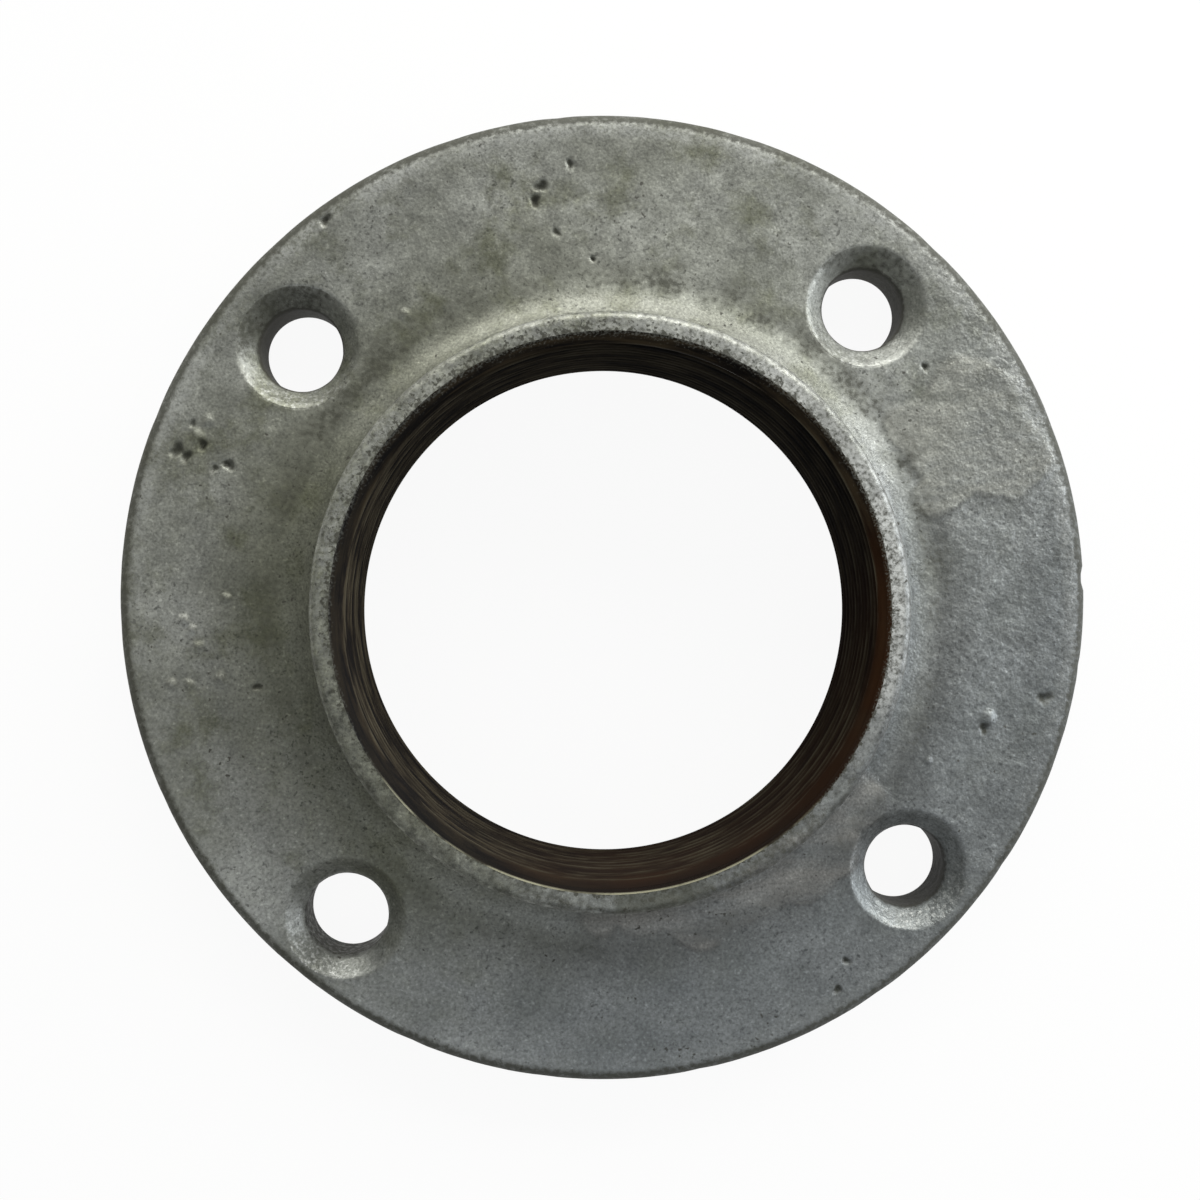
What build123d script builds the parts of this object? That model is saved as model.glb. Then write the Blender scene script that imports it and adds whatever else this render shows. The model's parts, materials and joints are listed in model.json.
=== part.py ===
from build123d import *
import math
import os

# Threaded floor flange for 3 inch pipe: one malleable iron casting, hot-dip galvanised, bore left dark.
# Millimetres. The origin is on the pipe's axis at the flat back face, and +Z points out of the hub.

# Bore, sized for a 3 inch parallel pipe thread of 2.309 mm pitch. Its wall stands at the thread's crests.
thread_crest_diameter = 84.926
mouth_chamfer = 1.9
back_chamfer = 1.5

# Plate
plate_diameter = 167.0
plate_thickness = 11.0
plate_draft_angle = 1.0
plate_face_edge_radius = 2.4
plate_back_edge_radius = 0.8

# The two halves of the mould closed out of line, so the plate sits off the pipe's axis
mould_shift_x = 0.3
mould_shift_y = 2.0

# Hub: a collar with the mould's draft on its wall and a wide fillet at its root
overall_height = 31.0
rim_width = 3.2
hub_draft_angle = 3.0
hub_root_radius = 7.5
rim_edge_radius = 1.4

# Countersunk screw holes, on a pitch circle about the pipe's axis
screw_hole_count = 4
screw_hole_diameter = 13.5
screw_pitch_diameter = 138.0
first_screw_hole_angle = 49.5
countersink_diameter = 20.5
countersink_angle = 90.0

hub_height = overall_height - plate_thickness
bore_radius = thread_crest_diameter / 2
rim_radius = bore_radius + mouth_chamfer + rim_width
hub_foot_radius = rim_radius + hub_height * math.tan(math.radians(hub_draft_angle))


def circle_at(body, height, radius):
    """The body's circular edge at this height whose radius is nearest to the one given."""
    level = body.edges().filter_by(GeomType.CIRCLE).filter_by_position(Axis.Z, height - 0.01, height + 0.01)
    return level.sort_by(lambda edge: abs(edge.radius - radius))[0]


def cast_body():
    """The plate and the hub as they leave the mould, before any machining."""
    with BuildPart() as casting:
        with BuildSketch():
            with Locations((mould_shift_x, mould_shift_y)):
                Circle(plate_diameter / 2)
        extrude(amount=plate_thickness, taper=plate_draft_angle)
        with Locations((0, 0, plate_thickness)):
            Cone(hub_foot_radius, rim_radius, hub_height, align=(Align.CENTER, Align.CENTER, Align.MIN))
        fillet(circle_at(casting, 0, plate_diameter / 2), plate_back_edge_radius)
        fillet(circle_at(casting, plate_thickness, plate_diameter / 2), plate_face_edge_radius)
        fillet(circle_at(casting, plate_thickness, hub_foot_radius), hub_root_radius)
        fillet(circle_at(casting, overall_height, rim_radius), rim_edge_radius)
    return casting.part


def machined_body(casting):
    """The casting with its bore, the bore's two chamfers and the countersunk screw holes cut."""
    with BuildPart() as flange:
        add(casting)
        with Locations((0, 0, overall_height)):
            Hole(bore_radius)
        chamfer(circle_at(flange, overall_height, bore_radius), mouth_chamfer)
        chamfer(circle_at(flange, 0, bore_radius), back_chamfer)
        with Locations((0, 0, plate_thickness)):
            with PolarLocations(screw_pitch_diameter / 2, screw_hole_count, first_screw_hole_angle):
                CounterSinkHole(
                    screw_hole_diameter / 2,
                    countersink_diameter / 2,
                    counter_sink_angle=countersink_angle,
                )
    return flange.part


os.makedirs("parts", exist_ok=True)
pipe_flange = machined_body(cast_body())
pipe_flange.label = "pipe_flange"
export_step(pipe_flange, "parts/pipe_flange.step")
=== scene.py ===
import json
import math
import bpy
import numpy as np
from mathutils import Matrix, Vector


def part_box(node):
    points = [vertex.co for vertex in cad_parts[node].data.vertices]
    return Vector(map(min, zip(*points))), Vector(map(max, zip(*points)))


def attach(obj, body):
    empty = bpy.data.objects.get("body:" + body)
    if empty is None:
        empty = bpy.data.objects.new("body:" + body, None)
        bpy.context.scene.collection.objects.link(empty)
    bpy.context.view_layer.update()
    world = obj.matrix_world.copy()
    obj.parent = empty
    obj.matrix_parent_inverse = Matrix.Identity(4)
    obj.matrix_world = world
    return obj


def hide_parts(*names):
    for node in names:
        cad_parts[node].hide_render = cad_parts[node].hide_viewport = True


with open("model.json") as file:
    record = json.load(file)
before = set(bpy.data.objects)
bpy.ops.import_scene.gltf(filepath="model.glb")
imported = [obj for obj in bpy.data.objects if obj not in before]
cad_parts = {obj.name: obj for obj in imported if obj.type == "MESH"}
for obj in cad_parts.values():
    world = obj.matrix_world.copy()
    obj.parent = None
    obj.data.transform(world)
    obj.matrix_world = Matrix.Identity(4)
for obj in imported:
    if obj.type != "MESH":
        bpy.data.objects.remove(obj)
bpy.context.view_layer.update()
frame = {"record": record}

mm = 0.001


# What the frame says about the flange, in mm

def mountNamed(name):
    return next(mount for mount in frame["record"]["mounts"] if mount["name"] == name)


low, high = [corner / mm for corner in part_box("pipe_flange")]
plateCentre = ((low.x + high.x) / 2, (low.y + high.y) / 2)
plateRadius = (high.x - low.x) / 2
hubTop = high.z
crestRadius = mountNamed("pipe_thread")["dims"]["r_mm"]
screwCircle = mountNamed("screw_holes")["dims"]
firstHole = [sum(ends) / 2 / mm for ends in zip(*frame["record"]["physics"]["openings"][0]["box_m"])]


# Helpers for selecting and for finishing a mesh

def makeActive(piece):
    if bpy.context.object and bpy.context.object.mode != "OBJECT":
        bpy.ops.object.mode_set(mode="OBJECT")
    bpy.ops.object.select_all(action="DESELECT")
    piece.select_set(True)
    bpy.context.view_layer.objects.active = piece


def applyModifier(piece, kind, **settings):
    makeActive(piece)
    modifier = piece.modifiers.new(kind.title(), kind)
    for name, value in settings.items():
        setattr(modifier, name, value)
    bpy.ops.object.modifier_apply(modifier=modifier.name)


def selectFaces(piece, wanted):
    # wanted holds one True or False for each face, in the mesh's own order
    makeActive(piece)
    mesh = piece.data
    mesh.vertices.foreach_set("select", np.zeros(len(mesh.vertices), bool))
    mesh.edges.foreach_set("select", np.zeros(len(mesh.edges), bool))
    mesh.polygons.foreach_set("select", wanted)
    bpy.ops.object.mode_set(mode="EDIT")
    bpy.ops.mesh.select_mode(type="FACE")


def corners(piece):
    # The mesh's points as rows of x, y, z in mm
    points = np.empty(len(piece.data.vertices) * 3)
    piece.data.vertices.foreach_get("co", points)
    return points.reshape(-1, 3) / mm


def moveCorners(piece, points):
    piece.data.vertices.foreach_set("co", (points * mm).ravel())
    piece.data.update()


def faceCentres(piece):
    centres = np.empty(len(piece.data.polygons) * 3)
    piece.data.polygons.foreach_get("center", centres)
    return centres.reshape(-1, 3) / mm


def awayFrom(points, place):
    return np.hypot(points[:, 0] - place[0], points[:, 1] - place[1])


def drawLine(name, points):
    # A chain of edges through the points, each of them (radius, height) in mm, drawn by extruding one corner
    bpy.ops.object.select_all(action="DESELECT")
    first = points[0]
    bpy.ops.mesh.primitive_plane_add(size=1 * mm, location=(0, 0, 0))
    line = bpy.context.object
    line.name = name
    bpy.ops.object.mode_set(mode="EDIT")
    bpy.ops.mesh.select_mode(type="VERT")
    bpy.ops.mesh.select_all(action="SELECT")
    bpy.ops.mesh.merge(type="CENTER")
    bpy.ops.transform.translate(value=(first[0] * mm, 0, first[1] * mm))
    for here, there in zip(points, points[1:]):
        step = ((there[0] - here[0]) * mm, 0, (there[1] - here[1]) * mm)
        bpy.ops.mesh.extrude_region_move(TRANSFORM_OT_translate={"value": step})
    bpy.ops.object.mode_set(mode="OBJECT")
    return line


def arc(centre, radius, start, end, steps):
    # Points of a round stretch, from one angle to another in degrees
    angles = [math.radians(start + (end - start) * k / steps) for k in range(steps + 1)]
    return [(centre[0] + radius * math.cos(a), centre[1] + radius * math.sin(a)) for a in angles]


def straight(start, end, longest):
    # Points along a straight stretch, both ends left out, no further apart than longest
    steps = math.ceil(math.dist(start, end) / longest)
    return [tuple(a + (b - a) * k / steps for a, b in zip(start, end)) for k in range(1, steps)]


# The casting: plate, root fillet, hub and rim are one section, turned about the pipe's axis. mm and degrees

casting = {
    "segments": 360,
    "plateThickness": 11.0,
    "plateDraft": 1.0,
    "faceEdgeRadius": 2.4,
    "backEdgeRadius": 0.8,
    "rimWidth": 3.2,
    "hubDraft": 3.0,
    "rootRadius": 7.5,
    "rimEdgeRadius": 1.4,
    "backSpacing": 4.0,
    "faceSpacing": 1.15,
    "hubSpacing": 1.2,
}

threadCut = {
    "pitch": 2.309,
    "rootRadius": 43.942,
    "rounding": 0.317,
    "flankAngle": 27.5,
    "mouthChamfer": 1.9,
    "backChamfer": 1.5,
    "turnsBeyond": 1,
}

mouthRadius = crestRadius + threadCut["mouthChamfer"]
backRadius = crestRadius + threadCut["backChamfer"]


def castingSection():
    thickness = casting["plateThickness"]
    slope = math.tan(math.radians(casting["hubDraft"]))
    lean = math.cos(math.radians(casting["hubDraft"]))
    footRadius = mouthRadius + casting["rimWidth"] + (hubTop - thickness) * slope
    # The three rounded corners and the fillet, each from its own centre
    edge = casting["backEdgeRadius"]
    backEdge = arc((plateRadius - edge, edge), edge, -90, 0, 3)
    edge = casting["faceEdgeRadius"]
    faceRadius = plateRadius - thickness * math.tan(math.radians(casting["plateDraft"]))
    faceEdge = arc((faceRadius - edge, thickness - edge), edge, 0, 90, 7)
    root = casting["rootRadius"]
    rootCentre = (footRadius - root * slope + root / lean, thickness + root)
    rootFillet = arc(rootCentre, root, 270, 180 + casting["hubDraft"], 16)
    edge = casting["rimEdgeRadius"]
    rimCentre = (footRadius - (hubTop - edge - thickness) * slope - edge / lean, hubTop - edge)
    rimEdge = arc(rimCentre, edge, casting["hubDraft"], 90, 6)
    # Straight stretches between them
    backStart, rimEnd = (backRadius, 0.0), (mouthRadius, hubTop)
    return [
        backStart, *straight(backStart, backEdge[0], casting["backSpacing"]),
        *backEdge, *straight(backEdge[-1], faceEdge[0], 1.5),
        *faceEdge, *straight(faceEdge[-1], rootFillet[0], casting["faceSpacing"]),
        *rootFillet, *straight(rootFillet[-1], rimEdge[0], casting["hubSpacing"]),
        *rimEdge, *straight(rimEdge[-1], rimEnd, 0.6), rimEnd,
    ]


def turnCasting():
    body = drawLine("pipeFlange", castingSection())
    makeActive(body)
    bpy.ops.object.mode_set(mode="EDIT")
    bpy.ops.mesh.select_all(action="SELECT")
    bpy.ops.mesh.spin(
        steps=casting["segments"], angle=2 * math.pi, center=(0, 0, 0), axis=(0, 0, 1), use_auto_merge=False
    )
    bpy.ops.mesh.select_all(action="SELECT")
    bpy.ops.mesh.remove_doubles(threshold=0.002 * mm)
    bpy.ops.object.mode_set(mode="OBJECT")
    return body


def threadSection():
    # One pitch of a rounded 55 degree thread, from root to root
    half = threadCut["pitch"] / 2
    flank = math.radians(threadCut["flankAngle"])
    across = threadCut["rounding"] * math.cos(flank)
    drop = threadCut["rounding"] * (1 - math.sin(flank))
    root = threadCut["rootRadius"]
    return [
        (root, 0), (root - drop, across), (crestRadius + drop, half - across), (crestRadius, half),
        (crestRadius + drop, half + across), (root - drop, 2 * half - across), (root, 2 * half),
    ]


def cutThread():
    # A tube of thread, wound past both ends and then trimmed to the two chamfers
    pitch = threadCut["pitch"]
    below = threadCut["turnsBeyond"] * pitch
    tube = drawLine("threadTube", [(radius, height - below) for radius, height in threadSection()])
    turns = math.ceil((hubTop + 2 * below) / pitch)
    applyModifier(
        tube, "SCREW", angle=2 * math.pi, screw_offset=pitch * mm, iterations=turns, steps=casting["segments"],
        render_steps=casting["segments"], use_merge_vertices=True, merge_threshold=0.002 * mm, use_smooth_shade=False,
    )
    points = corners(tube)
    radius = np.hypot(points[:, 0], points[:, 1])
    height = np.clip(points[:, 2], 0, hubTop)
    chamfer = crestRadius + np.maximum(height - hubTop + threadCut["mouthChamfer"], threadCut["backChamfer"] - height)
    trimmed = np.maximum(radius, chamfer)
    # Past the ends the tube folds flat onto the edge of the chamfer, and merging its doubles removes it
    trimmed = np.where(points[:, 2] <= 0, backRadius, np.where(points[:, 2] >= hubTop, mouthRadius, trimmed))
    points[:, 0] *= trimmed / radius
    points[:, 1] *= trimmed / radius
    points[:, 2] = height
    moveCorners(tube, points)
    return tube


def joinThread(body, tube):
    makeActive(body)
    tube.select_set(True)
    bpy.ops.object.join()
    bpy.ops.object.mode_set(mode="EDIT")
    bpy.ops.mesh.select_all(action="SELECT")
    bpy.ops.mesh.remove_doubles(threshold=0.004 * mm)
    bpy.ops.mesh.dissolve_degenerate(threshold=0.002 * mm)
    bpy.ops.mesh.normals_make_consistent(inside=False)
    bpy.ops.object.mode_set(mode="OBJECT")


# The two halves of the mould closed out of line: the plate's outer rings slide over, and its faces stretch with them

def shiftPlate(body):
    points = corners(body)
    radius = np.hypot(points[:, 0], points[:, 1])
    start = mouthRadius + casting["rimWidth"] + casting["rootRadius"] + 2
    end = plateRadius - casting["faceEdgeRadius"] - 1
    share = np.clip((radius - start) / (end - start), 0, 1)
    points[:, 0] += share * plateCentre[0]
    points[:, 1] += share * plateCentre[1]
    moveCorners(body, points)


def refineFace(body):
    # The plate's front is seen the most, so it is divided once more, and again where it has a blemish
    selectFaces(body, np.abs(faceCentres(body)[:, 2] - casting["plateThickness"]) < 0.01)
    bpy.ops.mesh.subdivide(number_cuts=1)
    bpy.ops.object.mode_set(mode="OBJECT")
    centres = faceCentres(body)
    near = np.any([awayFrom(centres, mark["at"]) < mark["radius"] + 0.5 for mark in blemishes], axis=0)
    selectFaces(body, near & (np.abs(centres[:, 2] - casting["plateThickness"]) < 0.01))
    bpy.ops.mesh.subdivide(number_cuts=1)
    bpy.ops.object.mode_set(mode="OBJECT")


# Screw holes: one cutter, turned like the casting and copied round the screw circle. mm

screwHole = {
    "segments": 96,
    "wear": 0.35,
    "countersinkRadius": 10.25,
    "countersinkDepth": 3.15,
    "brokenEdge": 0.4,
    "beyond": 3.0,
}


# The photographed holes are a little wider than the solid's
wornRadius = screwCircle["hole_r_mm"] + screwHole["wear"]


def screwHoleCutter():
    face = casting["plateThickness"]
    wall, sink = wornRadius, screwHole["countersinkRadius"]
    shoulder, soft = face - screwHole["countersinkDepth"], screwHole["brokenEdge"]
    below, above = -screwHole["beyond"], face + screwHole["beyond"]
    # Neither of the countersink's edges is sharp: the cutter flares as it leaves the wall and the face
    points = [
        (0, below), (wall, below), *straight((wall, below), (wall, shoulder - soft), 1.3), (wall, shoulder - soft),
        (wall + soft * 0.4, shoulder - soft * 0.1), (wall + soft, shoulder + soft),
        *straight((wall + soft, shoulder + soft), (sink - soft, face - soft), 0.7), (sink - soft, face - soft),
        (sink + soft * 0.2, face - soft * 0.3), (sink + soft * 1.3, face + soft * 0.1),
        (sink + soft * 1.3, above), (0, above),
    ]
    cutter = drawLine("screwHoleCutter", points)
    makeActive(cutter)
    bpy.ops.object.mode_set(mode="EDIT")
    bpy.ops.mesh.select_all(action="SELECT")
    bpy.ops.mesh.spin(
        steps=screwHole["segments"], angle=2 * math.pi, center=(0, 0, 0), axis=(0, 0, 1), use_auto_merge=False
    )
    bpy.ops.mesh.select_all(action="SELECT")
    bpy.ops.mesh.remove_doubles(threshold=0.002 * mm)
    bpy.ops.mesh.normals_make_consistent(inside=False)
    bpy.ops.object.mode_set(mode="OBJECT")
    return cutter


def screwHolePlaces():
    first = math.atan2(firstHole[1], firstHole[0])
    reach = screwCircle["pcd_mm"] / 2
    angles = [first + 2 * math.pi * k / screwCircle["count"] for k in range(screwCircle["count"])]
    return [(reach * math.cos(angle), reach * math.sin(angle)) for angle in angles]


def cutScrewHoles(body):
    cutter = screwHoleCutter()
    tools = []
    for x, y in screwHolePlaces():
        makeActive(cutter)
        bpy.ops.object.duplicate()
        tools.append(bpy.context.object)
        tools[-1].location = (x * mm, y * mm, 0)
    bpy.data.objects.remove(cutter)
    makeActive(tools[0])
    for tool in tools:
        tool.select_set(True)
    bpy.ops.object.join()
    applyModifier(body, "BOOLEAN", operation="DIFFERENCE", solver="EXACT", object=tools[0])
    bpy.data.objects.remove(tools[0])


# The skin that the sand left: each layer is noise of one grain size, pushed into the mesh itself. mm

castSkin = {
    "waves": {"size": 26.0, "strength": 0.5, "direction": "Z"},
    "lumps": {"size": 6.0, "strength": 0.11, "direction": "NORMAL"},
    "grit": {"size": 2.2, "strength": 0.09, "direction": "NORMAL"},
}

# What stands out of the skin or into it: place on the plate, radius and height, negative for a pit. mm
blemishes = [
    {"at": (-72.9, 27.3), "radius": 1.5, "height": -0.9},
    {"at": (-71.4, 26.2), "radius": 1.2, "height": -0.8},
    {"at": (-69.4, 29.6), "radius": 1.6, "height": 0.4},
    {"at": (-68.6, 28.2), "radius": 1.1, "height": -0.9},
    {"at": (-70.3, 31.8), "radius": 0.8, "height": -0.5},
    {"at": (-67.6, 32.3), "radius": 1.3, "height": 0.4},
    {"at": (-64.2, 24.8), "radius": 1.2, "height": -0.9},
    {"at": (-66.6, 24.2), "radius": 0.8, "height": -0.5},
    {"at": (-47.9, 66.4), "radius": 1.2, "height": -0.8},
    {"at": (-11.3, 72.6), "radius": 1.3, "height": -0.9},
    {"at": (-12.3, 70.1), "radius": 1.2, "height": -1.0},
    {"at": (-6.3, 76.3), "radius": 0.9, "height": -0.6},
    {"at": (-8.7, 64.7), "radius": 0.9, "height": -0.5},
    {"at": (-2.4, 60.2), "radius": 0.6, "height": -0.6},
    {"at": (-34.4, 50.5), "radius": 1.4, "height": 0.3},
    {"at": (-71.8, -1.5), "radius": 1.3, "height": 0.42},
    {"at": (-70.4, -3.1), "radius": 1.1, "height": 0.42},
    {"at": (-69.4, -5.9), "radius": 1.3, "height": 0.42},
    {"at": (-73.8, -12.4), "radius": 1.3, "height": 0.42},
    {"at": (-71.0, -12.4), "radius": 1.3, "height": 0.42},
    {"at": (-65.7, -11.6), "radius": 1.5, "height": 0.42},
    {"at": (-59.5, -12.9), "radius": 0.9, "height": -0.5},
    {"at": (-64.7, 2.2), "radius": 1.3, "height": 0.42},
    {"at": (76.0, -15.2), "radius": 1.5, "height": -0.7},
    {"at": (66.2, -18.6), "radius": 1.7, "height": 0.7},
    {"at": (65.4, -20.4), "radius": 1.1, "height": -0.6},
    {"at": (55.6, -26.0), "radius": 1.0, "height": 0.4},
    {"at": (67.8, -43.8), "radius": 1.0, "height": -0.6},
    {"at": (41.4, -60.6), "radius": 0.9, "height": -0.6},
    {"at": (39.9, -65.6), "radius": 1.0, "height": -0.6},
    {"at": (55.0, 42.1), "radius": 0.9, "height": -0.6},
]


# Dents along the plate's edge: the angle in degrees, then how long and how deep in mm
edgeDents = [
    (2.5, 2.0, 0.5), (21, 5.0, 0.08), (47, 3.2, 0.1), (74, 4.0, 0.06), (96, 2.2, 0.1), (109, 3.0, 0.06),
    (133, 4.5, 0.06), (158, 2.6, 0.08), (183, 3.6, 0.05), (204, 2.4, 0.06), (229, 4.2, 0.05), (246, 2.6, 0.1),
    (262, 3.4, 0.06), (281, 2.8, 0.1), (304, 3.8, 0.08), (326, 2.4, 0.12), (341, 4.4, 0.08), (352, 2.0, 0.12),
]

# Where the zinc ran or was wiped while it was soft, its film is smooth and ends in a lip of round lobes: (x, y), radius
wipedFilm = [
    ((57, 31), 7.5), ((64, 33), 9.0), ((69, 28.5), 8.0), ((65.5, 25), 6.5), ((59, 22.5), 6.0), ((60, 38), 5.0),
    ((70, 22.5), 3.4), ((0, -50.5), 4.5), ((8, -50.5), 5.6), ((17, -50), 7.2), ((24, -48), 7.6),
    ((31, -43.5), 7.4), ((37, -39), 7.6), ((42, -33), 6.2),
]
filmHeight = 0.26


def addAttribute(piece, name, values):
    attribute = piece.data.attributes.new(name, "FLOAT", "POINT")
    attribute.data.foreach_set("value", values)


def weighGroup(piece, name, weights):
    # Twenty even steps are enough, and far quicker than a weight for each vertex
    group = piece.vertex_groups.new(name=name)
    steps = np.round(weights * 20).astype(int)
    for step in range(1, 21):
        group.add(np.flatnonzero(steps == step).tolist(), step / 20, "REPLACE")


def roughenSkin(body):
    points = corners(body)
    fromThread = np.clip((awayFrom(points, (0, 0)) - mouthRadius - 0.2) / 0.8, 0, 1)
    fromBack = np.clip((points[:, 2] - 0.1) / 1.2, 0, 1)
    edge = np.clip(awayFrom(points, plateCentre) - plateRadius + 1.2, 0, 1)
    weighGroup(body, "castSkin", fromThread * fromBack * (1 - 0.65 * edge))
    for name, layer in castSkin.items():
        noise = bpy.data.textures.new(name, "CLOUDS")
        noise.noise_scale = layer["size"] * mm
        noise.noise_depth = 2
        applyModifier(
            body, "DISPLACE", texture=noise, texture_coords="LOCAL", mid_level=0.5, direction=layer["direction"],
            strength=layer["strength"] * mm, vertex_group="castSkin",
        )


def dentEdge(body):
    points = corners(body)
    x, y = points[:, 0] - plateCentre[0], points[:, 1] - plateCentre[1]
    outward = np.hypot(x, y)
    share = np.clip((outward - plateRadius + 4) / 3, 0, 1) * np.clip(points[:, 2] / 3, 0, 1)
    depth = np.zeros(len(points))
    for angle, length, deep in edgeDents:
        along = np.abs((np.degrees(np.arctan2(y, x)) - angle + 180) % 360 - 180) / 180 * math.pi * plateRadius
        depth += deep * np.clip(1 - (along / length) ** 2, 0, 1) ** 2
    points[:, 0] -= x / outward * depth * share
    points[:, 1] -= y / outward * depth * share
    moveCorners(body, points)


def addBlemishes(body):
    # Each one is a dome or a dimple with an uneven edge. Returns how much each vertex lies in a pit
    wobble = np.random.default_rng(4)
    points = corners(body)
    onFace = points[:, 2] > casting["plateThickness"] - 3
    pitted = np.zeros(len(points))
    for mark in blemishes:
        x, y = points[:, 0] - mark["at"][0], points[:, 1] - mark["at"][1]
        turn = np.arctan2(y, x)
        first, second = wobble.uniform(0, 2 * math.pi, 2)
        ragged = 1 if mark["height"] < 0 else 0.4
        uneven = 1 + ragged * (0.22 * np.sin(2 * turn + first) + 0.16 * np.sin(3 * turn + second))
        away = np.hypot(x, y) / (mark["radius"] * uneven)
        points[:, 2] += np.where(onFace & (away < 1), (1 - away ** 2) ** 2, 0) * mark["height"]
        if mark["height"] < 0:
            pitted = np.maximum(pitted, np.where(onFace, np.clip(1.5 - away, 0, 1), 0))
    moveCorners(body, points)
    return pitted


# From the first hole round: how much dirt and painted shade the upper side of each countersink has, how far that
# reaches to the left, how dark the wall of the hole is, how far the lower side of the countersink, with its painted
# glints, reaches to the left, and how much of that lower side there is
sinkDirtAndShade = [0.85, 1.0, 0.4, 0.5]
darkLean = [-0.2, 0.6, 0.0, -0.2]
wallDark = [1.0, 1.0, 0.7, 0.9]
glintLean = [0.2, 0.0, 0.85, -0.5]
glintMost = [1.0, 0.8, 1.0, 0.7]


def filmOver(points):
    # How much of the wiped film lies over each point, its outline pushed about by a few waves
    x, y = points[:, 0], points[:, 1]
    bentX = x + 1.2 * np.sin(y / 2.3) + 0.9 * np.sin(y / 5.1 + 1)
    bentY = y + 1.1 * np.sin(x / 2.9 + 2) + 0.8 * np.sin(x / 6.3)
    lobes = np.max(
        [radius - np.hypot(bentX - place[0], bentY - place[1]) for place, radius in wipedFilm], axis=0
    )
    return np.where(points[:, 2] > casting["plateThickness"] - 1.5, np.clip(lobes / 1.1 + 0.5, 0, 1), 0)


def raiseFilm(body):
    points = corners(body)
    points[:, 2] += filmOver(points) * filmHeight
    moveCorners(body, points)


def markFinish(body, pitted):
    # Where the finish differs: soil in pits, dark walls in the holes, dirt and painted shade on the upper side of each
    # countersink, painted glints on its lower side, wiped film on the face
    points = corners(body)
    places = np.array(screwHolePlaces())
    fromEach = np.array([awayFrom(points, place) for place in places])
    nearest = np.argmin(fromEach, axis=0)
    fromHole = np.min(fromEach, axis=0)
    across, up = (points[:, :2] - places[nearest]).T / screwHole["countersinkRadius"]
    shoulder = casting["plateThickness"] - screwHole["countersinkDepth"]
    wall = np.clip((wornRadius + 0.7 - fromHole) / 0.7, 0, 1) * np.array(wallDark)[nearest]
    sink = (fromHole < screwHole["countersinkRadius"] + 0.1) & (points[:, 2] > shoulder + 0.1)
    # Dirt and painted shade on the upper side of each countersink
    dirtAndSinkShade = sink * np.array(sinkDirtAndShade)[nearest] * np.clip(0.35 + up - np.array(darkLean)[nearest] * across, 0, 1)
    addAttribute(body, "soil", np.max([pitted * 0.72, wall, dirtAndSinkShade * 0.64], axis=0))
    # Painted glints on the lower side of each countersink, which also gets a coarser sand
    lowerSide = np.clip(-0.1 - 0.9 * up - np.array(glintLean)[nearest] * across, 0, 1)
    addAttribute(body, "clean", sink * lowerSide * np.array(glintMost)[nearest])
    addAttribute(body, "film", filmOver(points))


# Materials

def fromHex(code):
    # An sRGB colour such as #808080, as the linear one that a shader takes
    parts = [int(code[k:k + 2], 16) / 255 for k in (1, 3, 5)]
    return (*[c / 12.92 if c <= 0.04045 else ((c + 0.055) / 1.055) ** 2.4 for c in parts], 1)


def addNode(tree, kind, inputs=None, **settings):
    # inputs pairs a live socket, by name or place, with a value, a socket, or a node whose first output feeds it
    node = tree.nodes.new("ShaderNode" + kind)
    for name, value in settings.items():
        setattr(node, name, value)
    live = [socket for socket in node.inputs if socket.enabled]
    for key, value in (inputs or {}).items():
        socket = live[key] if isinstance(key, int) else next(s for s in live if s.name == key)
        if isinstance(value, bpy.types.Node):
            value = next(s for s in value.outputs if s.enabled)
        if isinstance(value, bpy.types.NodeSocket):
            tree.links.new(value, socket)
        else:
            socket.default_value = value
    return node


def newMaterial(name):
    material = bpy.data.materials.new(name)
    material.use_nodes = True
    material.node_tree.nodes.clear()
    return material, material.node_tree


# Hot-dipped zinc over cast malleable iron, weathered dull: soft clouds, a sandy grain, dirt where a cloth can't reach,
# bright flecks where edges rub, and painted light and shade in places. Sizes in mm; the grain is drawn a little coarser
# than the real one so that it shows

zincFinish = {
    "pale": "#a4a6a1",
    "dull": "#84867f",
    "cool": "#767c80",
    "grey": "#5e5f5c",
    "warm": "#8a8b7b",
    "stain": "#62644f",
    "soil": "#3a3a30",
    "grime": "#27231b",
    "pinhole": "#3a3831",
    "bright": "#d4d6d2",
    "tarnish": "#4c4c43",
    "smear": "#60635a",
    "film": "#9fa098",
    "runFilm": "#8a8984",
    "cloudSize": 16.0,
    "mottleSize": 3.2,
    "grainSize": 0.45,
    "coarseSize": 1.7,
    "speckSize": 0.75,
    "pinholeSize": 1.1,
    "clusterSize": 14.0,
    "fleckSize": 0.7,
    "rubSize": 9.0,
    "rimSize": 1.9,
    "soilSize": 0.9,
    "spotSize": 0.75,
    "bankSize": 8.0,
    "stainSize": 11.0,
    "strokeSize": (16.0, 3.6, 6.0),
    "grainBump": 0.045,
    "mottleBump": 0.05,
    "coarseBump": 0.36,
    "metallic": 0.7,
}


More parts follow.
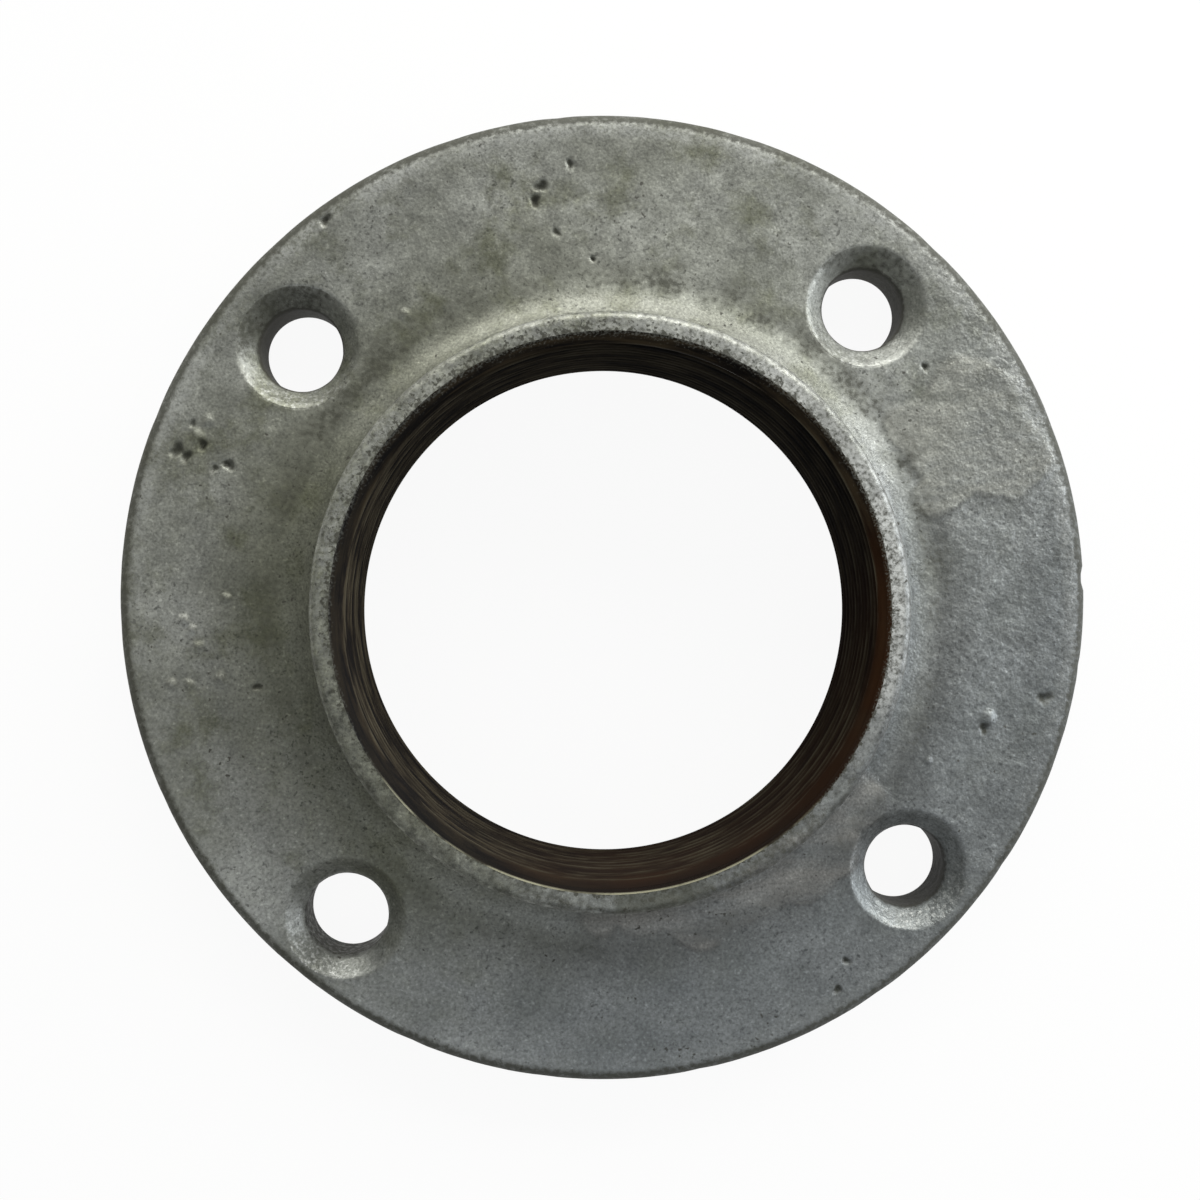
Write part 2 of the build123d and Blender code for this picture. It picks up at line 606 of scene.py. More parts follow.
def surveyOf(tree):
    # Places on the casting that its finishes share, all in mm
    place = addNode(tree, "TexCoord").outputs["Object"]
    at = addNode(tree, "Mapping", {"Vector": place, "Scale": (1000, 1000, 1000)})
    flat = addNode(tree, "VectorMath", {0: at, 1: (1, 1, 0)}, operation="MULTIPLY")
    fromPlate = addNode(tree, "VectorMath", {0: flat, 1: (*plateCentre, 0)}, operation="DISTANCE")
    return {
        "at": at,
        "radius": addNode(tree, "VectorMath", {0: flat}, operation="LENGTH").outputs["Value"],
        "fromPlate": fromPlate.outputs["Value"],
        "height": addNode(tree, "SeparateXYZ", {"Vector": at}).outputs["Z"],
        "lowerRight": addNode(tree, "VectorMath", {0: at, 1: (0.7, -0.7, 0)}, operation="DOT_PRODUCT").outputs["Value"],
        "right": addNode(tree, "VectorMath", {0: at, 1: (1, -0.1, 0)}, operation="DOT_PRODUCT").outputs["Value"],
        "up": addNode(tree, "VectorMath", {0: at, 1: (0.1, 1, 0)}, operation="DOT_PRODUCT").outputs["Value"],
    }


def product(tree, *factors):
    # The factors multiplied one after another
    total = factors[0]
    for factor in factors[1:]:
        total = addNode(tree, "Math", {0: total, 1: factor}, operation="MULTIPLY")
    return total


def zincColour(tree, on, cloud, mottle, grain):
    finish = zincFinish
    share = addNode(tree, "MapRange", {0: cloud, 1: 0.36, 2: 0.64})
    zinc = addNode(
        tree, "Mix", {"Factor": share, "A": fromHex(finish["pale"]), "B": fromHex(finish["dull"])}, data_type="RGBA"
    )
    share = addNode(tree, "MapRange", {0: on["lowerRight"], 1: -5, 2: 55, 4: 0.6})
    zinc = addNode(tree, "Mix", {"Factor": share, "A": zinc, "B": fromHex(finish["cool"])}, data_type="RGBA")
    share = addNode(tree, "MapRange", {0: on["lowerRight"], 1: 25, 2: -45, 4: 0.4})
    inner = addNode(tree, "MapRange", {0: on["radius"], 1: 56, 2: 70, 3: 1.0, 4: 0.5})
    zinc = addNode(
        tree, "Mix", {"Factor": product(tree, share, inner), "A": zinc, "B": fromHex(finish["warm"])}, data_type="RGBA"
    )
    # On the lower right it has gone grey round the hub
    share = addNode(tree, "MapRange", {0: on["lowerRight"], 1: 5, 2: 35, 4: 0.6})
    inner = addNode(tree, "MapRange", {0: on["radius"], 1: 66, 2: 58})
    outer = addNode(tree, "MapRange", {0: on["radius"], 1: 52, 2: 56})
    zinc = addNode(
        tree, "Mix", {"Factor": product(tree, share, inner, outer), "A": zinc, "B": fromHex(finish["grey"])},
        data_type="RGBA",
    )
    # The hub and its fillet have gone olive on the left
    left = addNode(tree, "MapRange", {0: on["right"], 1: 10, 2: -35})
    near = addNode(tree, "MapRange", {0: on["radius"], 1: 70, 2: 57, 4: 0.6})
    upper = addNode(tree, "MapRange", {0: on["up"], 1: 30, 2: 8, 3: 0.5})
    zinc = addNode(
        tree, "Mix", {"Factor": product(tree, left, near, upper), "A": zinc, "B": fromHex(finish["stain"])},
        data_type="RGBA",
    )
    # Olive stains, more of them towards the upper left
    blot = addNode(tree, "TexNoise", {"Vector": on["at"], "Scale": 1 / finish["stainSize"], "Detail": 6, "Roughness": 0.65})
    blot = addNode(tree, "MapRange", {0: blot, 1: 0.5, 2: 0.66})
    share = addNode(tree, "MapRange", {0: on["lowerRight"], 1: 45, 2: -25, 3: 0.1, 4: 0.7})
    zinc = addNode(
        tree, "Mix", {"Factor": product(tree, blot, share), "A": zinc, "B": fromHex(finish["stain"])}, data_type="RGBA"
    )
    # Film that was wiped smooth, with a painted shadow along its lip
    film = addNode(tree, "Attribute", attribute_name="film").outputs["Fac"]
    lie = addNode(
        tree, "Mapping",
        {"Vector": on["at"], "Rotation": (0, 0, 0.3), "Scale": [1 / size for size in finish["strokeSize"]]},
    )
    stroke = addNode(tree, "TexNoise", {"Vector": lie, "Scale": 1.0, "Detail": 4})
    strokes = addNode(tree, "MapRange", {0: stroke, 1: 0.36, 2: 0.62, 3: 0.1, 4: 0.8})
    lower = addNode(tree, "MapRange", {0: on["up"], 1: 0, 2: -30})
    smear = addNode(
        tree, "Mix", {"Factor": lower, "A": fromHex(finish["film"]), "B": fromHex(finish["runFilm"])}, data_type="RGBA"
    )
    zinc = addNode(tree, "Mix", {"Factor": product(tree, film, strokes), "A": zinc, "B": smear}, data_type="RGBA")
    inside = addNode(tree, "Math", {0: 1.0, 1: film}, operation="SUBTRACT")
    lipShadow = addNode(tree, "MapRange", {0: product(tree, film, inside, strokes), 1: 0, 2: 0.2, 3: 1.0, 4: 0.72})
    # Light and dark grains
    grainShade = addNode(tree, "MapRange", {0: grain, 1: 0.25, 2: 0.75, 3: 0.66, 4: 1.34})
    mottleShade = addNode(tree, "MapRange", {0: mottle, 1: 0.25, 2: 0.75, 3: 0.87, 4: 1.13})
    # Specks, dark ones and a few bright ones
    speck = addNode(tree, "TexNoise", {"Vector": on["at"], "Scale": 1 / finish["speckSize"], "Detail": 2})
    darkSpeck = addNode(tree, "MapRange", {0: speck, 1: 0.6, 2: 0.68, 4: 0.5})
    crowd = addNode(tree, "MapRange", {0: cloud, 1: 0.62, 2: 0.4, 3: 0.15})
    upperLeft = addNode(tree, "MapRange", {0: on["lowerRight"], 1: 20, 2: -30, 3: 0.8})
    darkSpeck = addNode(tree, "Math", {0: 1.0, 1: product(tree, darkSpeck, crowd, upperLeft)}, operation="SUBTRACT")
    brightSpeck = addNode(tree, "MapRange", {0: speck, 1: 0.37, 2: 0.3, 3: 1.0, 4: 1.35})
    # Painted shade: a little darker towards the edge, but not at the lower left, and darker on the lower left of the
    # face, most of all near the hub, and at the top left
    upperRight = addNode(tree, "Math", {0: on["right"], 1: on["up"]}, operation="ADD")
    outer = addNode(tree, "MapRange", {0: upperRight, 1: -60, 2: 0, 3: 1.02, 4: 0.89})
    outer = addNode(tree, "MapRange", {0: on["fromPlate"], 1: plateRadius - 14, 2: plateRadius - 7, 3: 1.0, 4: outer})
    left = addNode(tree, "MapRange", {0: on["right"], 1: -30, 2: -50, 4: 0.14})
    low = addNode(tree, "MapRange", {0: on["up"], 1: 22, 2: 2})
    inner = addNode(tree, "MapRange", {0: on["radius"], 1: 76, 2: 68})
    upperLeft = addNode(tree, "MapRange", {0: on["right"], 1: 5, 2: -30, 4: 0.12})
    top = addNode(tree, "MapRange", {0: on["up"], 1: 30, 2: 52})
    paintedShade = addNode(
        tree, "Math", {0: product(tree, left, low, inner), 1: product(tree, upperLeft, top)}, operation="ADD"
    )
    hollow = addNode(tree, "MapRange", {0: on["radius"], 1: 62, 2: 56, 4: 0.2})
    left = addNode(tree, "MapRange", {0: on["right"], 1: -30, 2: -42})
    low = addNode(tree, "MapRange", {0: on["up"], 1: -8, 2: -25})
    paintedShade = addNode(tree, "Math", {0: paintedShade, 1: product(tree, hollow, left, low)}, operation="ADD")
    paintedShade = addNode(tree, "Math", {0: 1.0, 1: paintedShade}, operation="SUBTRACT")
    # Painted light and shade on the hub's fillet at the upper right: lighter at its foot, darker nearer to the hub
    fillet = addNode(tree, "MapRange", {0: on["radius"], 1: 49.0, 2: 50.5})
    foot = addNode(tree, "MapRange", {0: on["radius"], 1: 52.8, 2: 55.6, 3: -0.32, 4: 0.75})
    fade = addNode(tree, "MapRange", {0: on["radius"], 1: 58.6, 2: 56.2})
    right = addNode(tree, "MapRange", {0: on["right"], 1: -25, 2: 15})
    over = addNode(tree, "MapRange", {0: on["up"], 1: -30, 2: 5, 3: 0.35, 4: 1.0})
    filletLightAndShade = addNode(tree, "Math", {0: 1.0, 1: product(tree, fillet, foot, fade, right, over)}, operation="ADD")
    shade = product(tree, lipShadow, grainShade, mottleShade, darkSpeck, brightSpeck, outer, paintedShade, filletLightAndShade)
    return addNode(tree, "VectorMath", {0: zinc, 1: shade}, operation="MULTIPLY")


def brightenEdges(tree, on, zinc):
    # The rim and the plate's edge are rubbed bright between dark flecks, and painted glints sparkle on the
    # countersinks' lower sides
    finish = zincFinish
    fleck = addNode(tree, "TexNoise", {"Vector": on["at"], "Scale": 1 / finish["fleckSize"], "Detail": 5, "Roughness": 0.7})
    flecked = addNode(tree, "MapRange", {0: fleck, 1: 0.34, 2: 0.57})
    wearAndGlint = addNode(
        tree, "Mix", {"Factor": flecked, "A": fromHex(finish["tarnish"]), "B": fromHex(finish["bright"])},
        data_type="RGBA",
    )
    rub = addNode(tree, "TexNoise", {"Vector": on["at"], "Scale": 1 / finish["rubSize"], "Detail": 5})
    rubbed = addNode(tree, "MapRange", {0: rub, 1: 0.38, 2: 0.62, 3: 0.45})
    right = addNode(tree, "MapRange", {0: on["right"], 1: 5, 2: 36, 3: 0.35, 4: 1.45})
    up = addNode(tree, "MapRange", {0: on["up"], 1: -22, 2: 8, 3: 0.15, 4: 1.0})
    rim = addNode(tree, "MapRange", {0: on["height"], 1: hubTop - 2.4, 2: hubTop - 0.6, 4: 1.0})
    # All of the rim is patchy, and it is smeared for a stretch at the bottom
    patch = addNode(tree, "TexNoise", {"Vector": on["at"], "Scale": 1 / finish["rimSize"], "Detail": 8, "Roughness": 0.78})
    patches = addNode(tree, "MapRange", {0: patch, 1: 0.38, 2: 0.6, 3: 0.44, 4: 1.36})
    lowerRight = addNode(tree, "MapRange", {0: on["lowerRight"], 1: 31, 2: 41, 3: 1.0, 4: 0.8})
    # Painted shade on the rim's rounded corner, most of all on the right
    corner = addNode(tree, "MapRange", {0: on["right"], 1: 5, 2: 36, 3: 1.0, 4: 0.62})
    corner = addNode(
        tree, "MapRange", {0: on["radius"], 1: mouthRadius + 2.0, 2: mouthRadius + 2.8, 3: 1.0, 4: corner}
    )
    patches = addNode(tree, "MapRange", {0: rim, 3: 1.0, 4: product(tree, patches, lowerRight, corner)})
    zinc = addNode(tree, "VectorMath", {0: zinc, 1: patches}, operation="MULTIPLY")
    start = addNode(tree, "MapRange", {0: on["right"], 1: 4.4, 2: 5.6})
    stop = addNode(tree, "MapRange", {0: on["right"], 1: 21.5, 2: 16.5})
    bottom = addNode(tree, "MapRange", {0: on["up"], 1: -36, 2: -40, 4: 0.8})
    zinc = addNode(
        tree, "Mix", {"Factor": product(tree, rim, start, stop, bottom), "A": zinc, "B": fromHex(finish["smear"])},
        data_type="RGBA",
    )
    edge = addNode(tree, "MapRange", {0: on["fromPlate"], 1: plateRadius - 5.0, 2: plateRadius - 3.5, 4: 0.36})
    above = addNode(tree, "MapRange", {0: on["up"], 1: -25, 2: 20, 3: 0.25, 4: 1.0})
    brink = addNode(tree, "MapRange", {0: on["fromPlate"], 1: plateRadius - 1.4, 2: plateRadius - 2.4})
    # Painted glints on the countersinks' lower sides
    sparkle = addNode(tree, "MapRange", {0: fleck, 1: 0.52, 2: 0.64, 3: 0.12, 4: 0.9})
    clean = addNode(tree, "Attribute", attribute_name="clean").outputs["Fac"]
    # Painted shade: its rounded corner is less bright, most of all on the right
    corner = addNode(tree, "MapRange", {0: on["right"], 1: 0, 2: 30, 3: 0.8, 4: 0.25})
    corner = addNode(
        tree, "MapRange", {0: on["radius"], 1: mouthRadius + 1.6, 2: mouthRadius + 2.4, 3: 1.0, 4: corner}
    )
    share = product(tree, rim, rubbed, right, up, corner)
    for other in (product(tree, edge, brink, rubbed, above), product(tree, clean, sparkle)):
        share = addNode(tree, "Math", {0: share, 1: other}, operation="MAXIMUM")
    return addNode(tree, "Mix", {"Factor": share, "A": zinc, "B": wearAndGlint}, data_type="RGBA")


def dirtAndShadeShare(tree, on):
    # How likely dirt is at each place, with painted shade on the countersinks and the plate's rounded edge, which one
    # noise then turns into flecks
    finish = zincFinish
    ringIn = addNode(tree, "MapRange", {0: on["radius"], 1: 53.0, 2: 56.5}, interpolation_type="SMOOTHSTEP")
    ringOut = addNode(tree, "MapRange", {0: on["radius"], 1: 67, 2: 57}, interpolation_type="SMOOTHSTEP")
    side = addNode(tree, "MapRange", {0: on["up"], 1: -15, 2: 35, 3: 0.43, 4: 0.7})
    bank = addNode(tree, "TexNoise", {"Vector": on["at"], "Scale": 1 / finish["bankSize"], "Detail": 3})
    banked = addNode(tree, "MapRange", {0: bank, 1: 0.35, 2: 0.6, 3: 0.5, 4: 1.0})
    # The mouth is flecked, the lower half of the rim is dull, and so is the hub's rounded corner
    upperLeft = addNode(tree, "Math", {0: on["up"], 1: on["right"]}, operation="SUBTRACT")
    reach = addNode(tree, "MapRange", {0: upperLeft, 1: -15, 2: 50, 3: mouthRadius + 1.2, 4: mouthRadius + 3.6})
    mouth = addNode(tree, "MapRange", {0: on["radius"], 1: reach, 2: mouthRadius})
    rim = addNode(tree, "MapRange", {0: on["height"], 1: hubTop - 1.8, 2: hubTop - 0.8})
    lower = addNode(tree, "MapRange", {0: on["up"], 1: 8, 2: -30, 4: 0.58})
    lowerLeft = addNode(tree, "MapRange", {0: on["right"], 1: -14, 2: -4, 3: 0.88})
    corner = addNode(tree, "MapRange", {0: on["radius"], 1: mouthRadius + 1.8, 2: mouthRadius + 2.5, 4: 0.36})
    # Grime and painted shade line the plate's rounded edge
    lining = addNode(tree, "MapRange", {0: on["fromPlate"], 1: plateRadius - 3.4, 2: plateRadius - 1.6, 4: 0.76})
    wall = addNode(tree, "MapRange", {0: on["height"], 1: 7.0, 2: 9.5, 3: 0.3, 4: 1.0})
    chance = product(tree, ringIn, ringOut, side, banked)
    spotted = addNode(tree, "Math", {0: product(tree, chance, 0.7), 1: mouth}, operation="MAXIMUM")
    dirtAndSinkShade = addNode(tree, "Attribute", attribute_name="soil").outputs["Fac"]
    for other in (product(tree, mouth, 0.5), product(tree, rim, lower, lowerLeft), product(tree, rim, corner), product(tree, lining, wall), dirtAndSinkShade):
        chance = addNode(tree, "Math", {0: chance, 1: other}, operation="MAXIMUM")
    patch = addNode(tree, "TexNoise", {"Vector": on["at"], "Scale": 1 / finish["soilSize"], "Detail": 7, "Roughness": 0.76})
    dirtAndShade = addNode(tree, "Math", {0: chance, 1: 0.6, 2: patch}, operation="MULTIPLY_ADD")
    dirtAndShade = addNode(tree, "MapRange", {0: dirtAndShade, 1: 0.74, 2: 0.95, 4: 0.84})
    # Small hard spots among it
    spot = addNode(tree, "TexNoise", {"Vector": on["at"], "Scale": 1 / finish["spotSize"], "Detail": 4, "Roughness": 0.6})
    least = addNode(tree, "MapRange", {0: spotted, 3: 0.74, 4: 0.44})
    sure = addNode(tree, "Math", {0: least, 1: 0.07}, operation="ADD")
    spots = addNode(tree, "MapRange", {0: spot, 1: least, 2: sure, 4: 0.88})
    return addNode(tree, "Math", {0: dirtAndShade, 1: spots}, operation="MAXIMUM")


def galvanisedIron():
    material, tree = newMaterial("galvanisedMalleableIron")
    finish = zincFinish
    on = surveyOf(tree)
    cloud = addNode(tree, "TexNoise", {"Vector": on["at"], "Scale": 1 / finish["cloudSize"], "Detail": 4})
    mottle = addNode(tree, "TexNoise", {"Vector": on["at"], "Scale": 1 / finish["mottleSize"], "Detail": 5})
    grain = addNode(tree, "TexNoise", {"Vector": on["at"], "Scale": 1 / finish["grainSize"], "Detail": 3})
    zinc = brightenEdges(tree, on, zincColour(tree, on, cloud, mottle, grain))
    # Dirt and painted shade are brown, and darker down in the screw holes
    dirtAndShade = dirtAndShadeShare(tree, on)
    down = addNode(tree, "MapRange", {0: on["height"], 1: 8.8, 2: 7.4})
    soil = addNode(
        tree, "Mix", {"Factor": down, "A": fromHex(finish["soil"]), "B": fromHex(finish["grime"])}, data_type="RGBA"
    )
    zinc = addNode(tree, "Mix", {"Factor": dirtAndShade, "A": zinc, "B": soil}, data_type="RGBA")
    # Pinholes come in clusters
    speck = addNode(tree, "TexNoise", {"Vector": on["at"], "Scale": 1 / finish["pinholeSize"], "Detail": 2})
    cluster = addNode(tree, "TexNoise", {"Vector": on["at"], "Scale": 1 / finish["clusterSize"], "Detail": 2})
    least = addNode(tree, "MapRange", {0: cluster, 1: 0.4, 2: 0.68, 3: 0.76, 4: 0.63})
    sure = addNode(tree, "Math", {0: least, 1: 0.06}, operation="ADD")
    pinhole = addNode(tree, "MapRange", {0: speck, 1: least, 2: sure, 4: 0.85})
    zinc = addNode(tree, "Mix", {"Factor": pinhole, "A": zinc, "B": fromHex(finish["pinhole"])}, data_type="RGBA")
    # Dirt, and the painted shade mixed with it, is dull and isn't metal
    dull = addNode(tree, "Math", {0: dirtAndShade, 1: pinhole}, operation="MAXIMUM")
    metallic = addNode(tree, "MapRange", {0: dull, 3: finish["metallic"], 4: 0.1})
    sheen = addNode(tree, "MapRange", {0: mottle, 1: 0.3, 2: 0.7, 3: 0.42, 4: 0.58})
    roughness = addNode(tree, "MapRange", {0: dull, 3: sheen, 4: 0.85})
    # The skin: fine grain all over, soft mottling, and a coarser sand towards the right
    fine = addNode(tree, "Bump", {"Strength": 1.0, "Distance": finish["grainBump"] * mm, "Height": grain})
    soft = addNode(
        tree, "Bump", {"Strength": 1.0, "Distance": finish["mottleBump"] * mm, "Height": mottle, "Normal": fine}
    )
    coarse = addNode(tree, "TexNoise", {"Vector": on["at"], "Scale": 1 / finish["coarseSize"], "Detail": 4})
    right = addNode(tree, "MapRange", {0: on["right"], 1: 38, 2: 60, 3: 0.14, 4: 1.0})
    clean = addNode(tree, "Attribute", attribute_name="clean").outputs["Fac"]
    sandy = addNode(tree, "Math", {0: right, 1: product(tree, clean, 0.6)}, operation="MAXIMUM")
    bump = addNode(
        tree, "Bump",
        {"Strength": 1.0, "Distance": finish["coarseBump"] * mm, "Height": product(tree, coarse, sandy), "Normal": soft},
    )
    shader = addNode(
        tree, "BsdfPrincipled",
        {"Base Color": zinc, "Metallic": metallic, "Roughness": roughness, "Normal": bump},
    )
    addNode(tree, "OutputMaterial", {"Surface": shader})
    return material


# Thread cut into bare malleable iron, gone dark in its cutting oil: streaks along the thread, crests rubbed bare,
# rust at the lower right, zinc that ran over the mouth's edge, and painted light and shade on the thread and its mouth.
# Sizes in mm

threadFinish = {
    "oiled": "#332b1e",
    "dark": "#0a0705",
    "rust": "#2e1a09",
    "bare": "#514d3f",
    "zinc": "#7c7d75",
    "edge": "#8f8d78",
    "streakLength": 13.0,
    "streakWidth": 0.8,
    "rustSize": 9.0,
    "fleckSize": 0.4,
    "streakBump": 0.08,
}


def threadCutIron():
    material, tree = newMaterial("threadCutMalleableIron")
    finish = threadFinish
    on = surveyOf(tree)
    long, wide = 1 / finish["streakLength"], 1 / finish["streakWidth"]
    along = addNode(tree, "Mapping", {"Vector": on["at"], "Scale": (long, long, wide)})
    streak = addNode(tree, "TexNoise", {"Vector": along, "Scale": 1.0, "Detail": 6, "Roughness": 0.66})
    streaks = addNode(tree, "MapRange", {0: streak, 1: 0.4, 2: 0.62})
    iron = addNode(
        tree, "Mix", {"Factor": streaks, "A": fromHex(finish["dark"]), "B": fromHex(finish["oiled"])}, data_type="RGBA"
    )
    # Painted light and shade below the chamfer: the thread's crests lighter, its roots darker
    crestLightRootShade = addNode(
        tree, "MapRange", {0: on["radius"], 1: crestRadius + 0.2, 2: threadCut["rootRadius"] - 0.3, 3: 1.3, 4: 0.4}
    )
    throat = addNode(tree, "MapRange", {0: on["height"], 1: hubTop - 2.6, 2: hubTop - 1.8, 3: crestLightRootShade, 4: 1.0})
    iron = addNode(tree, "VectorMath", {0: iron, 1: throat}, operation="MULTIPLY")
    bloom = addNode(tree, "TexNoise", {"Vector": on["at"], "Scale": 1 / finish["rustSize"], "Detail": 5})
    # A band of rust just inside the mouth, and a trace of it further down
    rusty = addNode(tree, "MapRange", {0: on["lowerRight"], 1: 10, 2: 32})
    bloomed = addNode(tree, "MapRange", {0: bloom, 1: 0.35, 2: 0.6, 3: 0.6})
    band = addNode(tree, "MapRange", {0: on["height"], 1: hubTop - 6.5, 2: hubTop - 3.5, 3: 0.6})
    iron = addNode(
        tree, "Mix", {"Factor": product(tree, rusty, bloomed, band), "A": iron, "B": fromHex(finish["rust"])},
        data_type="RGBA",
    )
    crest = addNode(tree, "MapRange", {0: on["radius"], 1: crestRadius + 0.3, 2: crestRadius + 0.1})
    rubbed = addNode(tree, "MapRange", {0: streak, 1: 0.46, 2: 0.62, 4: 0.7})
    iron = addNode(
        tree, "Mix", {"Factor": product(tree, crest, rubbed), "A": iron, "B": fromHex(finish["bare"])},
        data_type="RGBA",
    )
    # Zinc ran over the edge of the mouth, further down at the top
    fleck = addNode(tree, "TexNoise", {"Vector": on["at"], "Scale": 1 / finish["fleckSize"], "Detail": 4})
    reach = addNode(tree, "MapRange", {0: on["up"], 1: -35, 2: 25, 3: 0.4, 4: 1.9})
    depth = addNode(tree, "Math", {0: hubTop, 1: on["height"]}, operation="SUBTRACT")
    share = addNode(tree, "Math", {0: depth, 1: reach}, operation="DIVIDE")
    least = addNode(tree, "MapRange", {0: share, 3: 0.38, 4: 0.75})
    sure = addNode(tree, "Math", {0: least, 1: 0.3}, operation="ADD")
    run = addNode(tree, "MapRange", {0: fleck, 1: least, 2: sure})
    run = product(tree, run, addNode(tree, "MapRange", {0: share, 3: 0.9, 4: 0.3}))
    iron = addNode(tree, "Mix", {"Factor": run, "A": iron, "B": fromHex(finish["zinc"])}, data_type="RGBA")
    # Painted shade and light: darker at the bottom; below the chamfer darker at the upper right and at the top; the
    # mouth's chamfer lighter at the upper right and darker at the lower left
    edge = addNode(tree, "MapRange", {0: on["height"], 1: hubTop - 2.4, 2: hubTop - 1.4, 3: 0.6, 4: 0.38})
    lowShade = addNode(tree, "MapRange", {0: on["up"], 1: 0, 2: -35, 3: 1.0, 4: edge})
    upperRight = addNode(tree, "Math", {0: on["right"], 1: on["up"]}, operation="ADD")
    wall = addNode(tree, "MapRange", {0: upperRight, 1: -10, 2: 40, 3: 1.0, 4: 0.62})
    wall = product(tree, wall, addNode(tree, "MapRange", {0: on["up"], 1: 0, 2: 18, 3: 1.0, 4: 0.8}))
    mouth = addNode(tree, "MapRange", {0: upperRight, 1: -30, 2: 60, 3: 0.48, 4: 1.55})
    throatLightAndShade = addNode(tree, "MapRange", {0: on["height"], 1: hubTop - 2.4, 2: hubTop - 1.6, 3: wall, 4: mouth})
    iron = addNode(tree, "VectorMath", {0: iron, 1: product(tree, lowShade, throatLightAndShade)}, operation="MULTIPLY")
    # The mouth's edge is bare at the bottom, with a painted highlight along it
    brink = addNode(tree, "MapRange", {0: on["height"], 1: hubTop - 0.3, 2: hubTop - 0.12})
    bottom = addNode(tree, "MapRange", {0: on["up"], 1: -25, 2: -36, 4: 0.85})
    broken = addNode(tree, "MapRange", {0: bloom, 1: 0.42, 2: 0.56, 3: 0.1})
    iron = addNode(
        tree, "Mix", {"Factor": product(tree, brink, bottom, broken), "A": iron, "B": fromHex(finish["edge"])},
        data_type="RGBA",
    )
    metallic = addNode(tree, "MapRange", {0: run, 3: 0.35, 4: 0.6})
    bump = addNode(tree, "Bump", {"Strength": 1.0, "Distance": finish["streakBump"] * mm, "Height": streak})
    shader = addNode(
        tree, "BsdfPrincipled",
        {"Base Color": iron, "Metallic": metallic, "Roughness": 0.6, "Specular IOR Level": 0.13, "Normal": bump},
    )
    addNode(tree, "OutputMaterial", {"Surface": shader})
    return material


# The studio

studio = {
    "floorSize": 8.0,
    "floorColour": "#f2f2f0",
    "floorGlow": 0.93,
    "surround": "#fbfbf8",
    "surroundStrength": 0.3,
}

# Soft boxes: the window is above, a cool one stands at the right and a weak one opens the shadows. Degrees, m, W
softBoxes = {
    "keyLight": {"azimuth": 76, "elevation": 27, "away": 0.85, "size": (0.5, 1.6), "power": 12.4, "colour": "#fffefa"},
    "sideLight": {"azimuth": 12, "elevation": 16, "away": 0.85, "size": (0.4, 0.9), "power": 5.4, "colour": "#f3f7ff"},
    "fillLight": {"azimuth": -112, "elevation": 60, "away": 0.9, "size": (0.6, 1.0), "power": 0.95, "colour": "#eef3ff"},
}

camera = {
    "at": (-10.26, 4.14, 249.66),
    "turned": (-0.548, -2.177, 0),
    "lens": 41.8,
}


def layFloor():
    bpy.ops.object.select_all(action="DESELECT")
    bpy.ops.mesh.primitive_plane_add(size=studio["floorSize"], location=(0, 0, -0.02 * mm))
    floor = bpy.context.object
    floor.name = "studioFloor"
    material, tree = newMaterial("paleStudioPaper")
    paper = addNode(tree, "BsdfDiffuse", {"Color": fromHex(studio["floorColour"])})
    glow = addNode(tree, "Emission", {"Color": (1, 1, 1, 1), "Strength": 1.0})
    # White to the eye and in reflections, and paper to the light, so the shadow stays
    path = addNode(tree, "LightPath")
    seen = addNode(
        tree, "Math", {0: path.outputs["Is Camera Ray"], 1: path.outputs["Is Glossy Ray"]}, operation="ADD"
    )
    seen = addNode(tree, "Math", {0: seen, 1: path.outputs["Is Transmission Ray"]}, operation="ADD")
    share = addNode(tree, "Math", {0: seen, 1: studio["floorGlow"]}, operation="MULTIPLY", use_clamp=True)
    both = addNode(tree, "MixShader", {0: share, 1: paper, 2: glow})
    addNode(tree, "OutputMaterial", {"Surface": both})
    floor.data.materials.append(material)


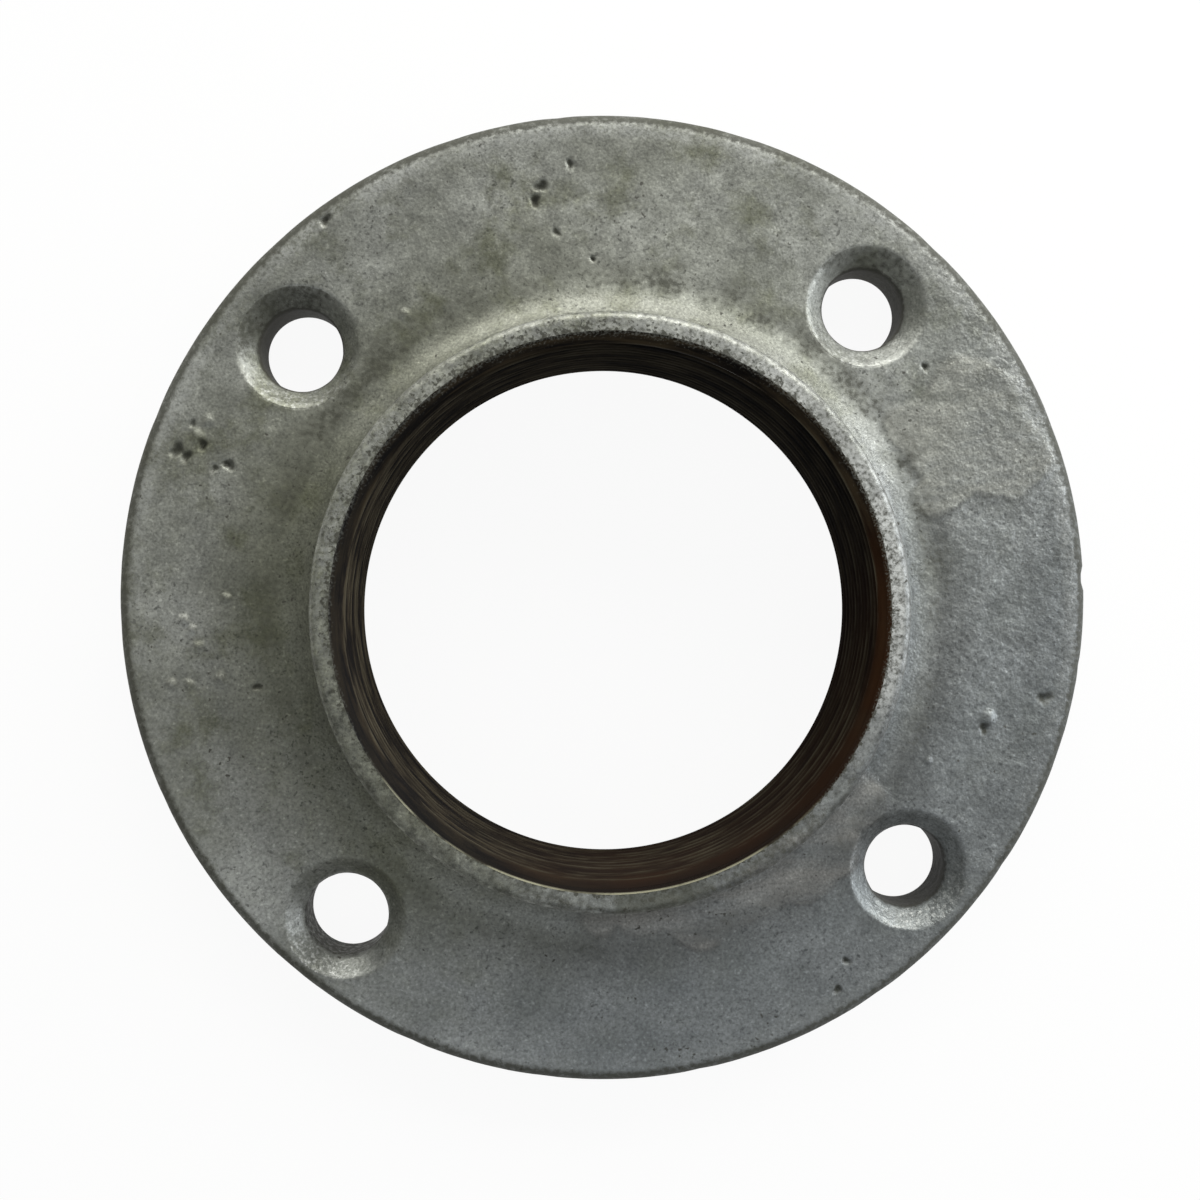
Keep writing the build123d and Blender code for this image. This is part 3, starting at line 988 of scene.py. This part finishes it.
def hangLights():
    for name, box in softBoxes.items():
        azimuth, elevation = math.radians(box["azimuth"]), math.radians(box["elevation"])
        level = box["away"] * math.cos(elevation)
        bpy.ops.object.light_add(
            type="AREA",
            location=(level * math.cos(azimuth), level * math.sin(azimuth), box["away"] * math.sin(elevation)),
            rotation=(0, math.pi / 2 - elevation, azimuth),
        )
        light = bpy.context.object
        light.name = name
        light.visible_camera = False
        light.data.shape = "RECTANGLE"
        light.data.size, light.data.size_y = box["size"]
        light.data.energy = box["power"]
        light.data.color = fromHex(box["colour"])[:3]
    world = bpy.data.worlds.new("studioSurround")
    world.use_nodes = True
    world.node_tree.nodes.clear()
    # White behind the flange, and dim enough all round for the soft boxes to shape it
    path = addNode(world.node_tree, "LightPath")
    strength = addNode(
        world.node_tree, "MapRange", {0: path.outputs["Is Camera Ray"], 3: studio["surroundStrength"], 4: 1.0}
    )
    background = addNode(
        world.node_tree, "Background", {"Color": fromHex(studio["surround"]), "Strength": strength}
    )
    addNode(world.node_tree, "OutputWorld", {"Surface": background})
    bpy.context.scene.world = world


def placeCamera():
    bpy.ops.object.camera_add(
        location=[c * mm for c in camera["at"]], rotation=[math.radians(a) for a in camera["turned"]]
    )
    eye = bpy.context.object
    eye.name = "photoCamera"
    eye.data.lens = camera["lens"]
    eye.data.clip_start = 0.01
    bpy.context.scene.camera = eye


def shadeByAngle(piece, degrees):
    makeActive(piece)
    bpy.ops.object.shade_smooth_by_angle(angle=math.radians(degrees))


zincMaterial, threadMaterial = galvanisedIron(), threadCutIron()
flange = turnCasting()
flange.data.materials.append(zincMaterial)
shiftPlate(flange)
refineFace(flange)
print("turned the casting", len(flange.data.polygons))
tube = cutThread()
tube.data.materials.append(threadMaterial)
joinThread(flange, tube)
print("cut the thread", len(flange.data.polygons))
cutScrewHoles(flange)
print("cut the screw holes", len(flange.data.polygons))
roughenSkin(flange)
dentEdge(flange)
raiseFilm(flange)
markFinish(flange, addBlemishes(flange))
shadeByAngle(flange, 40)
print("roughened the skin")

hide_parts("pipe_flange")
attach(flange, "root")

layFloor()
hangLights()
placeCamera()
print("set the studio")

bpy.context.scene.view_settings.view_transform = "Standard"
